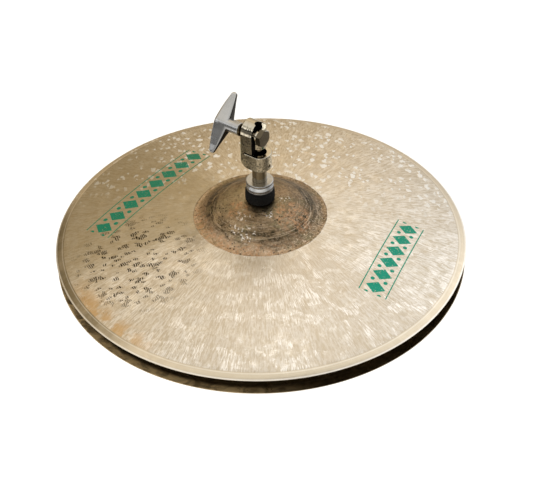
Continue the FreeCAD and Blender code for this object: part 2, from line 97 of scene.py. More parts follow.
class CymbalSettings(bpy.types.PropertyGroup):
    """Shape and finish of the two cymbals."""
    thickness: length("Thickness", "Measured vertically", 1.1)
    bow_rise: length("Bow rise", "From the rim to the foot of the bell", 20.3)
    bell_rise: length("Bell rise", "Height of the bell over its foot", 15.9)
    bell_flat: length("Crown flat", "Radius of the flat the felts bear on", 13.5)
    bell_arc: length("Bell arc", "Radius of the bell's arc in section", 55.0)
    foot_arc: length("Foot arc", "Hollow where the bell meets the bow", 12.0)
    bow_start: FloatProperty(name="Bow slope", description="Slope beside the bell",
                             subtype="ANGLE", default=math.radians(4.6))
    raw_radius: length("Raw bell", "Radius of the unlathed metal", 57.6)
    rim_band: length("Rim band", "Width of the band along it", 6.8)
    hammer_marks: IntProperty(name="Hammer marks", description="Dimples in each bow", default=420)
    hammer_depth: length("Hammer depth", "Depth of a dimple", 0.16)
    bow_colour: colour("Bow", "Lathed bronze of the bow", (0.76, 0.662, 0.512))
    bell_colour: colour("Bell", "Raw bronze of the bell", (0.37, 0.265, 0.155))
    stain_colour: colour("Stain", "Heat and handling stain", (0.62, 0.41, 0.19))
    mark_colour: colour("Print", "Printed decoration", (0.012, 0.29, 0.19))


class FeltSettings(bpy.types.PropertyGroup):
    """Shape and finish of the pressed felts."""
    bulge: length("Bulge", "Swell at half height", 0.22)
    lumps: length("Lumps", "Depth of the felt's uneven surface", 0.24)
    felt_colour: colour("Felt", "Black wool", (0.0040, 0.0037, 0.0037))


class ClutchSettings(bpy.types.PropertyGroup):
    """Finish of the clutch, its nuts and the seat."""
    # the chrome's warm tone is a painted reflection of the bronze round it
    chrome_colour: colour("Chrome", "Polished plate", (0.56, 0.525, 0.45))
    nickel_colour: colour("Nickel", "Satin plate", (0.53, 0.535, 0.545))
    steel_colour: colour("Steel", "Ground steel", (0.29, 0.24, 0.165))
    nylon_colour: colour("Nylon", "Black moulded nylon", (0.022, 0.022, 0.024))
    wing_edge: length("Barrel edge", "Rounding of the wing nut's barrel", 0.5)
    collar_height: length("Collar", "Height of the clutch's collar", 13.8)


class StudioSettings(bpy.types.PropertyGroup):
    """Camera, lights and floor."""
    lens: FloatProperty(name="Lens", description="Focal length on a 36 mm sensor", default=77.2,
                        unit="CAMERA")
    floor_drop: length("Floor", "Depth under the object's origin", 1400.0)
    floor_colour: colour("Floor", "Pale paper", (0.93, 0.93, 0.93))


# ---- meshes ----
def grid_mesh(name, points, wrap_rows=True, wrap_columns=True, flip=False):
    """A smooth-shaded mesh of quads over a grid of points (rows, columns, 3), closed round where
    asked to wrap."""
    rows, columns = points.shape[:2]
    index = np.arange(rows * columns).reshape(rows, columns)
    if wrap_rows:
        index = np.concatenate([index, index[:1]], axis=0)
    if wrap_columns:
        index = np.concatenate([index, index[:, :1]], axis=1)
    quads = np.stack([index[:-1, :-1], index[1:, :-1], index[1:, 1:], index[:-1, 1:]], axis=-1)
    quads = quads.reshape(-1, 4)
    if flip:
        quads = quads[:, ::-1]
    mesh = bpy.data.meshes.new(name)
    mesh.vertices.add(rows * columns)
    mesh.vertices.foreach_set("co", points.astype(np.float32).ravel())
    mesh.loops.add(quads.size)
    mesh.loops.foreach_set("vertex_index", quads.astype(np.int32).ravel())
    mesh.polygons.add(len(quads))
    mesh.polygons.foreach_set("loop_start", np.arange(0, quads.size, 4, dtype=np.int32))
    mesh.polygons.foreach_set("use_smooth", np.ones(len(quads), dtype=bool))
    mesh.update(calc_edges=True)
    mesh.validate()
    return mesh


def turned(profile, steps):
    """Each (radius, height) of a profile carried round Z: x = r cos t, y = r sin t, z = height."""
    angle = np.linspace(0.0, TAU, steps, endpoint=False)
    radius, height = profile[:, :1], profile[:, 1:]
    return np.stack([radius * np.cos(angle), radius * np.sin(angle), height + 0.0 * angle], axis=-1)


def around_rod(points):
    """Radius and angle of each point about the rod."""
    return np.hypot(points[..., 0], points[..., 1]), np.arctan2(points[..., 1], points[..., 0])


def placed(name, data):
    """A new object of the scene, at the origin, that holds the given data."""
    made = bpy.data.objects.new(name, data)
    bpy.context.scene.collection.objects.link(made)
    return made


def put(name, mesh, material, body, replaced):
    """Makes a piece of the hi hat, finishes it, and hides the part it stands for."""
    piece = placed(name, mesh)
    mesh.materials.append(material)
    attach(piece, body)
    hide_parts(replaced)
    return piece


def arc(centre, radius, start, stop, count):
    """Points of a circular arc in (radius, height), angles counted from the axis outwards."""
    angle = np.linspace(start, stop, count)
    return np.stack([centre[0] + radius * np.sin(angle),
                     centre[1] + radius * np.cos(angle)], axis=1)


def spread(points, spacing):
    """The same line with its points set at even steps of about the given spacing."""
    run = np.concatenate([[0.0], np.cumsum(np.hypot(*np.diff(points, axis=0).T))])
    even = np.linspace(0.0, run[-1], max(2, int(round(run[-1] / spacing)) + 1))
    return np.stack([np.interp(even, run, line) for line in points.T], axis=1)


def smooth_step(low, high, value):
    """Goes from 0 to 1 between low and high, as 3tt - 2ttt."""
    t = np.clip((value - low) / (high - low), 0.0, 1.0)
    return t * t * (3.0 - 2.0 * t)


# ---- cymbals ----
def cymbal_line(settings, rim):
    """Section of the upper face over the rim's upper edge: flat, bell arc, hollow arc, bow arc.

    The arcs are tangent to each other. The bell's arc falls from the flat until its slope meets
    the hollow's, the hollow eases that slope down to the bow's, and the bow is the one arc that
    starts at that slope and ends at the rim.
    """
    crown = settings.bow_rise + settings.bell_rise
    bow, big, small = settings.bow_start, settings.bell_arc, settings.foot_arc
    steep = math.acos((big + small * math.cos(bow) - settings.bell_rise) / (big + small))
    bell = arc((settings.bell_flat, crown - big), big, 0.0, steep, 60)
    hollow_centre = (bell[-1, 0] + small * math.sin(steep), bell[-1, 1] + small * math.cos(steep))
    hollow = arc(hollow_centre, -small, steep, bow, 20)
    start = hollow[-1]
    run, fall = rim - start[0], start[1]
    chord = math.atan2(fall, run)
    radius = math.hypot(run, fall) / (2.0 * math.sin(chord - bow))
    centre = (start[0] - radius * math.sin(bow), start[1] - radius * math.cos(bow))
    sheet = arc(centre, radius, bow, 2.0 * chord - bow, 120)
    return np.concatenate([[(HOLE, crown)], bell, hollow[1:], sheet[1:]])


def hammered(radius, angle, settings, rim, seed):
    """Height that hammering takes off: a sum of shallow Gaussian dimples all over the bow."""
    rng = np.random.default_rng(seed)
    count = settings.hammer_marks
    at_r = np.sqrt(rng.uniform((settings.raw_radius * 1.08) ** 2, (rim * 0.95) ** 2, count))
    at_t = rng.uniform(0.0, TAU, count)
    wide = rng.uniform(2.6, 5.2, count) * MM
    deep = settings.hammer_depth * rng.uniform(0.35, 1.0, count)
    height = np.zeros(radius.shape)
    for r0, t0, w, d in zip(at_r, at_t, wide, deep):
        turn = (angle - t0 + np.pi) % (TAU) - np.pi
        away = ((radius - r0) / w) ** 2 + (turn * r0 / (1.35 * w)) ** 2
        height -= d * np.exp(-away)
    return height


def ridged(radius, angle, settings, seed):
    """Low rings left in the raw bell and uneven swells round it: sines in radius and angle."""
    rng = np.random.default_rng(seed)
    phase = rng.uniform(0.0, TAU, 6)
    inside = smooth_step(14.5 * MM, 18.0 * MM, radius)
    inside *= 1.0 - smooth_step(settings.raw_radius * 0.93, settings.raw_radius, radius)
    rings = 0.11 * np.sin(TAU * radius / (4.6 * MM) + 0.35 * np.sin(angle * 3 + phase[0]))
    rings += 0.06 * np.sin(TAU * radius / (2.9 * MM) + phase[1])
    swells = 0.12 * np.sin(5 * angle + phase[2])
    swells *= np.sin(TAU * radius / (21 * MM) + phase[3])
    swells += 0.08 * np.sin(9 * angle + phase[4]) * np.sin(TAU * radius / (13 * MM))
    ledge = -0.35 * np.exp(-((radius - 47.5 * MM) / (1.3 * MM)) ** 2)
    return MM * inside * (rings + swells + ledge)


def cymbal_mesh(name, settings, node, seed, upright):
    """The whole cymbal: one closed line, over the top, round the rim and back underneath, turned.

    The hammering and the rings move both faces together, so the metal only thins at the rim.
    """
    low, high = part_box(node)
    rim, thick = high.x, settings.thickness
    top = spread(cymbal_line(settings, rim), 1.45 * MM)
    top[:, 1] += thick
    edge = rim - 0.5 * thick
    keep = top[:, 0] < edge
    turn = arc((edge, 0.5 * thick), 0.5 * thick, math.radians(12), math.radians(168), 7)
    under = top[keep][::-1] - (0.0, thick)
    top[:, 1] -= RIM_TAPER * np.clip(top[:, 0] - rim + settings.rim_band, 0.0, None)
    fall = RIM_TAPER * settings.rim_band
    turn[:, 1] *= 1.0 - fall / thick * smooth_step(0.0, thick, turn[:, 1])
    profile = np.concatenate([top[keep], turn, under])
    points = turned(profile, 288)
    radius, angle = around_rod(points)
    groove = -0.10 * MM * np.exp(-((radius - rim + settings.rim_band) / (0.9 * MM)) ** 2)
    lift = hammered(radius, angle, settings, rim, seed) + ridged(radius, angle, settings, seed + 1)
    points[..., 2] += lift + groove * (1.0 - smooth_step(rim - 2 * MM, rim - MM, radius))
    points[..., 2] = low.z + points[..., 2] if upright else high.z - points[..., 2]
    return grid_mesh(name, points, flip=upright)


# ---- node wiring ----
def toned(tint, share, lift=0.0):
    """A colour with each part times a share, plus a lift."""
    return [share * part + lift for part in tint]


def chained(operation):
    """A method of Wiring that carries an operation through its values, from left to right."""
    def carry(self, first, *others):
        for other in others:
            first = self.math(operation, first, other)
        return first
    return carry


class Wiring:
    """Wires a node tree. Each call adds nodes and gives back the output they are used by."""

    def __init__(self, tree):
        self.tree = tree

    def add(self, kind, inputs=None, output=0, **settings):
        node = self.tree.nodes.new("ShaderNode" + kind)
        for key, value in settings.items():
            setattr(node, key, value)
        for key, value in (inputs or {}).items():
            self.feed(node.inputs[key], value)
        return node.outputs[output]

    def feed(self, socket, value):
        """Links or sets a socket. A colour gets the alpha it needs."""
        if isinstance(value, bpy.types.NodeSocket):
            self.tree.links.new(value, socket)
        else:
            socket.default_value = (*value[:3], 1.0) if socket.type == "RGBA" else value

    def math(self, operation, *values):
        return self.add("Math", dict(enumerate(values)), operation=operation)

    plus, less = chained("ADD"), chained("SUBTRACT")
    times, most = chained("MULTIPLY"), chained("MAXIMUM")
    below, above = chained("LESS_THAN"), chained("GREATER_THAN")

    def gap(self, a, b):
        """How far apart two values are."""
        return self.math("ABSOLUTE", self.less(a, b))

    def squares(self, a, b):
        """The sum of the squares of two values."""
        return self.plus(self.times(a, a), self.times(b, b))

    def dot(self, a, b):
        """The dot product of two vectors."""
        return self.add("VectorMath", {0: a, 1: b}, "Value", operation="DOT_PRODUCT")

    def vector(self, x, y, z):
        return self.add("CombineXYZ", {0: x, 1: y, 2: z})

    def axes(self, vector):
        return self.add("SeparateXYZ", {0: vector}).node.outputs[:]

    def blend(self, factor, a, b):
        """Value a turned towards value b by a factor."""
        return self.add("Mix", {0: factor, 2: a, 3: b})

    def mix(self, factor, a, b):
        """Colour a turned towards colour b by a factor."""
        return self.add("Mix", {0: factor, 6: a, 7: b}, 2, data_type="RGBA")

    def ramp(self, value, low, high, first=0.0, last=1.0):
        """A smooth change from first to last as a value goes from low to high."""
        return self.add("MapRange", {0: value, 1: low, 2: high, 3: first, 4: last},
                        interpolation_type="SMOOTHSTEP")

    def wash(self, base, value, low, high, most, tone):
        """The base turned towards a tone, by up to most, as a value goes from low to high."""
        return self.mix(self.ramp(value, low, high, 0.0, most), base, tone)


class Finish(Wiring):
    """Wires one material by a point's place."""

    def __init__(self, name):
        self.material = bpy.data.materials.new(name)
        self.material.use_nodes = True
        super().__init__(self.material.node_tree)
        self.tree.nodes.clear()
        self.place = self.add("TexCoord", output="Object")
        self.x, self.y, self.z = self.axes(self.place)

    def facing(self):
        """The direction a face looks in."""
        return self.add("TexCoord", output="Normal")

    def noise(self, scale, detail=4.0, roughness=0.55, distortion=0.0, shift=0.0, vector=None):
        """Noise over the place, or over another vector."""
        vector = self.place if vector is None else vector
        if shift:
            vector = self.add("VectorMath", {0: vector, 1: (shift, shift * 0.7, -shift)},
                              operation="ADD")
        return self.add("TexNoise", {"Vector": vector, "Scale": scale, "Detail": detail,
                                     "Roughness": roughness, "Distortion": distortion})

    def cells(self, scale, randomness=1.0):
        """Distance from the middles of scattered cells."""
        return self.add("TexVoronoi", {"Vector": self.place, "Scale": scale,
                                       "Randomness": randomness})

    def spots(self, turn, along, across, seed, low, high, share):
        """Scattered spots: the middles of a share of cells that are stretched one way."""
        place = self.add("Mapping", {"Vector": self.place, "Rotation": (0.0, 0.0, turn),
                                     "Location": (seed, seed, 0.0), "Scale": (along, across, 1.0)})
        wander = self.add("TexNoise", {"Vector": place, "Scale": 2.2, "Detail": 2.0}, "Color")
        for operation, inputs in (("SUBTRACT", {1: (0.5, 0.5, 0.5)}), ("SCALE", {"Scale": 0.8}),
                                  ("ADD", {1: place})):
            wander = self.add("VectorMath", {0: wander, **inputs}, operation=operation)
        middle, lot = (self.add("TexVoronoi", {"Vector": wander, "Scale": 1.0}, output,
                                voronoi_dimensions="2D") for output in ("Distance", "Color"))
        return self.times(self.ramp(middle, high, low), self.below(self.axes(lot)[0], share))

    def near(self, point, wide):
        """A soft round patch about a point: one in the middle, nothing past its width."""
        away = self.squares(self.less(self.x, point[0]), self.less(self.y, point[1]))
        return self.ramp(away, wide ** 2, (0.4 * wide) ** 2)

    def bump(self, height, distance, strength=1.0, bevel=None):
        """A normal raised by a height, over edges softened by a bevel's radius."""
        inputs = {"Height": height, "Distance": distance, "Strength": strength}
        if bevel:
            inputs["Normal"] = self.add("Bevel", {"Radius": bevel}, samples=4)
        return self.add("Bump", inputs)

    def finish(self, **inputs):
        """Ends the material in a Principled shader, with sockets named by their labels."""
        shader = self.add("BsdfPrincipled", {key.replace("_", " "): value
                                             for key, value in inputs.items()})
        end = self.tree.nodes.new("ShaderNodeOutputMaterial")
        self.feed(end.inputs["Surface"], shader)
        return self.material


class RoundFinish(Finish):
    """Wires a material by a point's radius and direction about the rod too."""

    def __init__(self, name):
        super().__init__(name)
        self.radius = self.math("SQRT", self.squares(self.x, self.y))
        safe = self.most(self.radius, 1e-5)
        self.cos, self.sin = (self.math("DIVIDE", axis, safe) for axis in (self.x, self.y))
        self.tangent = self.add("Tangent", direction_type="RADIAL", axis="Z")

    def leaning(self, x, y):
        """How far a point's direction from the rod leans towards (x, y): their dot product."""
        return self.plus(self.times(self.cos, x), self.times(self.sin, y))

    def swept(self, around, outwards, *settings, **more):
        """Noise where one unit is 1/around of a radian and 1/outwards of a metre from the rod."""
        polar = self.vector(self.times(self.cos, around), self.times(self.sin, around),
                            self.times(self.radius, outwards))
        return self.noise(1.0, *settings, **more, vector=polar)


# ---- cymbal finish ----
def printed_row(w, centre, turn, cell, count, height, line):
    """A plain printed border of diamonds and dots by turns, between two thin lines: its mask.

    Along the row the position is cut into cells. A diamond is where the shares of its half width
    and half height add up to less than one. A dot is a circle on the border of two cells.
    """
    along, across, _ = w.axes(w.add("Mapping", {"Vector": w.place, "Location": (*centre, 0.0),
                                                "Rotation": (0.0, 0.0, turn)},
                                    vector_type="TEXTURE"))
    half = 0.5 * cell * count
    off = w.gap(w.math("FRACT", w.math("DIVIDE", w.plus(along, half), cell)), 0.5)
    tall = w.math("ABSOLUTE", across)
    shares = w.plus(w.math("DIVIDE", off, 0.40), w.math("DIVIDE", tall, 0.5 * height))
    diamond = w.below(shares, 1.0)
    away = w.squares(w.times(w.less(0.5, off), cell), w.less(tall, 0.33 * height))
    dot = w.below(away, (0.105 * height) ** 2)
    rule = w.below(w.gap(tall, 0.5 * height + line), 0.16 * line)
    return w.times(w.most(diamond, dot, rule), w.below(w.math("ABSOLUTE", along), half))


def bronze(name, settings, rim, upright):
    """Cymbal bronze: a lathed and hammered bow, a raw bell, a turned rim and an inner face painted
    dark as shade.
    """
    w = RoundFinish(name)
    strokes = w.swept(112.0, 150.0, 3.0, 0.62, 0.5)
    mottle = w.noise(120.0, 5.0, 0.62, 0.6)
    bow, facet_glint = lathed_bow(w, settings, strokes, mottle)
    bow = turned_rim(w, settings, stained(w, settings, bow, rim), rim)
    bell, pits, patina = raw_bell(w, settings)
    painted_shade, painted_lit_strip = inner_face(w, rim)

    wobble = w.times(w.less(w.noise(90.0, 3.0), 0.5), 0.0016)
    on_bell = w.ramp(w.plus(w.radius, wobble), settings.raw_radius + 0.0003,
                     settings.raw_radius - 0.0003)
    upward = w.axes(w.facing())[2]
    inner = w.below(upward, 0.0) if upright else w.above(upward, 0.0)
    # the inner face is painted dark as shade
    base = w.mix(inner, w.mix(on_bell, bow, bell), painted_shade)
    # less metallic on the painted lit strip of the inner face and on the facets painted as glints
    metal = w.less(1.0, w.times(inner, painted_lit_strip, 0.9),
                   w.times(facet_glint, w.less(1.0, w.most(inner, on_bell)), 0.55))
    if upright:
        worn = w.ramp(w.noise(700.0, 3.0, 0.7), 0.30, 0.40)
        rows = w.most(*(printed_row(w, *row) for row in PRINTED_ROWS))
        mark = w.times(rows, worn, w.less(1.0, inner))
        base = w.mix(mark, base, settings.mark_colour)
        metal = w.times(metal, w.less(1.0, w.times(mark, 0.25)))

    # height: lathe grooves, hammer cells and facets, grain of the raw bell
    low = w.plus(w.times(strokes, 0.60), w.times(w.swept(2.0, 2100.0, 3.0, 0.6), 0.45),
                 w.times(w.cells(135.0, 0.9), 0.45), w.times(facet_glint, 0.9))
    grain = w.plus(w.times(w.noise(420.0, 5.0, 0.7, 0.5), 2.6),
                   w.times(w.ramp(pits, 0.0, 0.4), 0.8))
    rough = w.blend(on_bell, w.ramp(mottle, 0.35, 0.75, 0.38, 0.26),
                    w.ramp(patina, 0.3, 0.7, 0.27, 0.50))
    return w.finish(Base_Color=base, Metallic=metal, Roughness=rough, Tangent=w.tangent,
                    Normal=w.bump(w.blend(on_bell, low, grain), 0.00016, 0.9), Anisotropic=0.5)


def lathed_bow(w, settings, strokes, mottle):
    """Colour of the bow with its painted light and shade, and the mask of its hammer facets painted
    bright as glints.
    """
    hatch = w.swept(150.0, 330.0, 2.0, 0.6, 1.2, 3.1)
    rays = w.swept(11.0, 4.0, 4.0, 0.62, shift=7.0)
    patches = w.noise(34.0, 3.0, 0.5, shift=2.0)
    bow = w.mix(w.ramp(strokes, 0.36, 0.64), toned(settings.bow_colour, 0.80),
                toned(settings.bow_colour, 0.5, 0.47))
    bow = w.wash(bow, hatch, 0.55, 0.72, 0.50, (0.44, 0.33, 0.21))
    bow = w.wash(bow, rays, 0.46, 0.72, 0.38, (0.58, 0.48, 0.34))
    bow = w.wash(bow, patches, 0.50, 0.72, 0.25, (0.56, 0.45, 0.30))

    # painted shade: deeper in front, and one dark patch of painted shadow beside the bell
    bow = w.wash(bow, w.leaning(0.259, -0.966), 0.62, 0.95, 0.42, (0.60, 0.50, 0.375))
    bow = w.mix(w.times(w.near((-0.057, -0.031), 0.017), 0.5), bow, (0.25, 0.19, 0.11))

    # painted highlights: bundles of bright strokes, most of them in front, then pale mottles
    highlight_bundle = w.times(w.ramp(w.noise(52.0, 4.0, 0.6, 1.0, 5.0), 0.49, 0.60),
                     w.ramp(w.y, 0.05, -0.05, 0.40, 1.0))
    fine = w.ramp(w.swept(150.0, 115.0, 2.0, 0.6, 0.7, 1.7), 0.46, 0.60)
    bow = w.mix(w.times(fine, highlight_bundle, 0.90), bow, (1.0, 0.95, 0.88))
    bow = w.wash(bow, mottle, 0.54, 0.70, 0.40, (0.94, 0.89, 0.80))

    # hammer facets painted bright as glints, most of them behind the bell
    behind = w.ramp(w.plus(w.y, w.times(w.x, 0.1)), 0.0, 0.07, 0.10, 1.0)
    facet_glint = w.most(w.spots(0.50, 100.0, 74.0, 3.0, 0.17, 0.25, 0.55),
                   w.spots(0.35, 170.0, 120.0, 8.0, 0.16, 0.27, 0.42))
    facet_glint = w.times(facet_glint, behind, w.ramp(patches, 0.36, 0.50))
    bow = w.mix(facet_glint, bow, (1.0, 0.985, 0.95))

    # painted shade darkening the left, then clusters of short hammer bruises painted dark as a
    # reflection
    bow = w.wash(bow, w.leaning(-0.966, 0.26), 0.66, 0.93, 0.60, (0.38, 0.31, 0.18))
    along = w.plus(w.times(w.x, 0.94), w.times(w.y, 0.34), w.times(w.noise(210.0, 2.0), 0.004))
    ticks = w.math("SINE", w.times(along, TAU / 0.0016))
    cluster = w.most(w.spots(-0.45, 60.0, 92.0, 5.0, 0.18, 0.24, 0.85),
                     w.spots(-0.15, 95.0, 150.0, 11.0, 0.16, 0.23, 0.72))
    bruise_dark_reflection = w.times(w.ramp(ticks, -0.55, -0.10), cluster, w.near((-0.104, -0.050), 0.066))
    return w.mix(bruise_dark_reflection, bow, (0.030, 0.020, 0.009)), facet_glint


def stained(w, settings, bow, rim):
    """The bow with a brown stain near the rim, in front on the left."""
    off = w.squares(w.plus(w.cos, 0.75), w.plus(w.sin, 0.66))
    stain = w.times(w.ramp(off, 0.13, 0.01), w.ramp(w.radius, rim - 0.026, rim - 0.010),
                    w.ramp(w.noise(70.0, 5.0, 0.62, 0.5), 0.38, 0.56, 0.08, 0.85))
    return w.mix(stain, bow, settings.stain_colour)


def turned_rim(w, settings, bow, rim):
    """The bow with the band turned along its rim: painted shade darkens it on the left, a dark line
    of painted shade lies where it starts with a pale painted highlight beside it, and a painted
    highlight runs along the edge."""
    start = rim - settings.rim_band
    band = w.mix(w.swept(5.0, 2600.0, 2.0, 0.5), toned(settings.bow_colour, 0.88),
                 toned(settings.bow_colour, 1.16))
    # painted shade: the band darker on the left
    painted_shade = w.times(w.ramp(w.leaning(-0.92, -0.30), 0.74, 0.93),
                   w.ramp(w.noise(80.0, 4.0, 0.6, 0.4), 0.3, 0.6, 0.60, 0.85))
    band = w.mix(painted_shade, band, (0.19, 0.152, 0.085))
    bow = w.mix(w.ramp(w.radius, start - 0.0002, start + 0.0002), bow, band)
    # a dark line of painted shade in the groove, a pale painted highlight beside it, and a painted
    # highlight along the edge
    for place, width, tone, much in (
            (start, 0.0007, (0.36, 0.29, 0.20), 0.22),
            (start + 0.0012, 0.0006, (1.0, 0.97, 0.90), 0.35),
            (rim - 0.0006, 0.0009, (1.0, 0.97, 0.92), 0.70)):
        bow = w.wash(bow, w.gap(w.radius, place), width, 0.3 * width, much, tone)
    return bow


def raw_bell(w, settings):
    """Colour of the unlathed bell, its pits and its patina: olive and brown with copper blushes,
    paler on the left and darker on the right as painted light and shade, dark rings that come and
    go, fine pale rings, black pits and small painted glints."""
    patina = w.noise(62.0, 6.0, 0.68, 1.4)
    copper = w.noise(230.0, 5.0, 0.7, 0.8, 4.0)
    green = w.noise(41.0, 4.0, 0.6, 0.8, 6.5)
    bell = w.mix(w.ramp(patina, 0.38, 0.62), toned(settings.bell_colour, 0.55),
                 toned(settings.bell_colour, 1.15))
    bell = w.wash(bell, green, 0.46, 0.60, 0.70, (0.235, 0.205, 0.110))

    # painted light and shade: paler on the left, darker on the right
    bell = w.wash(bell, w.cos, 0.1, -0.9, 0.30, (0.56, 0.44, 0.28))
    bell = w.wash(bell, w.cos, 0.1, 0.9, 0.30, (0.16, 0.115, 0.075))

    # a broken dark ring round the shoulder and fainter ones, then fine pale rings
    ring = w.times(w.ramp(w.swept(1.6, 240.0, 4.0, 0.62, 0.4, 1.0), 0.41, 0.49),
                   w.ramp(w.gap(w.radius, 0.0425), 0.0075, 0.002, 0.30, 1.0),
                   w.ramp(w.radius, 0.020, 0.030),
                   w.ramp(w.radius, 0.053, 0.048, 0.25, 1.0),
                   w.ramp(copper, 0.38, 0.62, 1.0, 0.50))
    bell = w.mix(ring, bell, (0.046, 0.036, 0.019))
    fine = w.times(w.ramp(w.swept(2.6, 1050.0, 3.0, 0.6, 0.2), 0.54, 0.64, 0.0, 0.65),
                   w.ramp(w.radius, 0.018, 0.042))
    bell = w.mix(fine, bell, (0.60, 0.47, 0.33))

    # pale and copper flecks along the foot, most in front on the left, where the pale wash is
    # painted light, and copper blushes
    foot = w.ramp(w.radius, 0.0435, 0.0500)
    lit = w.times(foot, w.ramp(w.leaning(-0.62, -0.78), 0.0, 0.80))
    pale = w.times(lit, w.ramp(patina, 0.36, 0.60, 0.20, 0.85))
    bell = w.mix(pale, bell, (0.58, 0.42, 0.28))
    blush = w.most(w.near((0.0265, -0.0195), 0.020), w.near((-0.0190, -0.0120), 0.013),
                   w.times(lit, 0.7))
    warm = w.times(w.ramp(copper, 0.44, 0.62), w.ramp(blush, 0.0, 1.0, 0.06, 0.62))
    bell = w.mix(warm, bell, (0.60, 0.31, 0.155))
    speck = w.times(w.ramp(w.noise(520.0, 3.0, 0.75, shift=8.0), 0.54, 0.62),
                    w.ramp(foot, 0.0, 1.0, 0.25, 0.65))
    bell = w.mix(speck, bell, (0.76, 0.60, 0.44))
    dark = w.noise(460.0, 3.0, 0.75, shift=3.0)
    bell = w.wash(bell, dark, 0.54, 0.63, 0.66, (0.105, 0.075, 0.048))

    pits = w.cells(300.0)
    pit = w.times(w.ramp(pits, 0.30, 0.16),
                  w.ramp(w.noise(60.0, 2.0, shift=6.0), 0.50, 0.58), 0.85)
    bell = w.mix(pit, bell, (0.035, 0.026, 0.018))
    # painted glints: small bright spots in a few patches
    glints = w.times(w.most(*(w.near(*patch) for patch in GLINT_PATCHES)),
                     w.ramp(w.noise(420.0, 2.0, 0.6, shift=9.0), 0.57, 0.64, 0.0, 0.85))
    return w.mix(glints, bell, (1.0, 0.93, 0.86)), pits, patina


def inner_face(w, rim):
    """Colour of the hidden side of a cymbal, brown metal painted dark as shade, and the mask of a
    paler strip of painted light along part of its rim."""
    cloud = w.noise(85.0, 5.0, 0.65, 0.8)
    painted_shade = w.mix(w.ramp(cloud, 0.35, 0.65), (0.14, 0.100, 0.052), (0.27, 0.20, 0.11))
    painted_shade = w.wash(painted_shade, w.swept(2.0, 900.0, 3.0, 0.6), 0.45, 0.65, 0.4, (0.30, 0.24, 0.15))
    # painted light: a paler strip along the rim, in front on the left
    painted_lit_strip = w.times(w.ramp(w.leaning(-0.60, -0.80), 0.60, 0.92),
                    w.ramp(w.radius, rim - 0.010, rim - 0.005),
                    w.ramp(cloud, 0.38, 0.58, 0.45, 1.0))
    return w.mix(painted_lit_strip, painted_shade, (0.72, 0.54, 0.29)), painted_lit_strip


# ---- felt ----
def felt_profile(inner, outer, low, high, edge, bulge):
    """Closed section of a felt ring: a rectangle with rounded corners whose outside swells."""
    tight = 0.4 * MM                # rounding of the two corners at the hole
    corners = ((outer - edge, high - edge, edge), (outer - edge, low + edge, edge),
               (inner + tight, low + tight, tight), (inner + tight, high - tight, tight))
    parts = [arc((r, z), size, 0.5 * np.pi * k, 0.5 * np.pi * (k + 1), 9)
             for k, (r, z, size) in enumerate(corners)]
    line = spread(np.concatenate(parts + [parts[0][:1]]), 0.42 * MM)[:-1]
    level = (line[:, 1] - low) / (high - low)
    outside = smooth_step(inner + 2 * MM, outer - edge, line[:, 0])
    line[:, 0] += bulge * np.sin(np.pi * level) * outside
    return line


def felt_mesh(name, node, settings, edge, seed):
    """A pressed felt ring: its section carried round, then pushed in and out by 46 summed waves."""
    low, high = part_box(node)
    points = turned(felt_profile(HOLE, high.x, low.z, high.z, edge, settings.bulge), 216)
    radius, angle = around_rod(points)
    rng = np.random.default_rng(seed)
    wave = np.zeros(radius.shape)
    for _ in range(46):
        around, up = rng.integers(4, 64), rng.uniform(-3.2, 3.2) / MM
        size = 1.0 / (1.0 + 0.05 * around)
        wave += size * np.sin(around * angle + up * points[..., 2] + up * 0.8 * radius
                              + rng.uniform(0, TAU))
    wave = settings.lumps * (wave / np.abs(wave).max() - 0.35)
    out = np.stack([radius - 0.5 * (HOLE + high.x),
                    points[..., 2] - 0.5 * (low.z + high.z)], axis=-1)
    out /= np.linalg.norm(out, axis=-1, keepdims=True)
    wave = np.where(out[..., 0] < -0.5, 0.0, wave)
    points[..., 0] += wave * out[..., 0] * np.cos(angle)
    points[..., 1] += wave * out[..., 0] * np.sin(angle)
    points[..., 2] += wave * out[..., 1] * 0.6
    return grid_mesh(name, points)


def wool(name, tint):
    """Black pressed wool: tangled fibres in height and tone, with a dusty sheen."""
    w = Finish(name)
    tangle = w.noise(1500.0, 6.0, 0.75, 2.5)
    fibre = w.add("TexWave", {"Vector": w.place, "Scale": 420.0, "Distortion": 24.0, "Detail": 4.0,
                              "Detail Scale": 2.4, "Detail Roughness": 0.7})
    clumps = w.noise(420.0, 4.0, 0.6, 0.6)
    base = w.mix(w.ramp(clumps, 0.35, 0.70), toned(tint, 0.55), toned(tint, 2.2))
    base = w.wash(base, tangle, 0.58, 0.70, 0.50, (0.075, 0.070, 0.066))
    height = w.plus(tangle, w.times(fibre, 0.35), clumps)
    return w.finish(Base_Color=base, Roughness=w.ramp(clumps, 0.3, 0.7, 0.82, 0.97),
                    Normal=w.bump(height, 0.0007), Sheen_Weight=0.06, Sheen_Roughness=0.5,
                    Specular_IOR_Level=0.15)


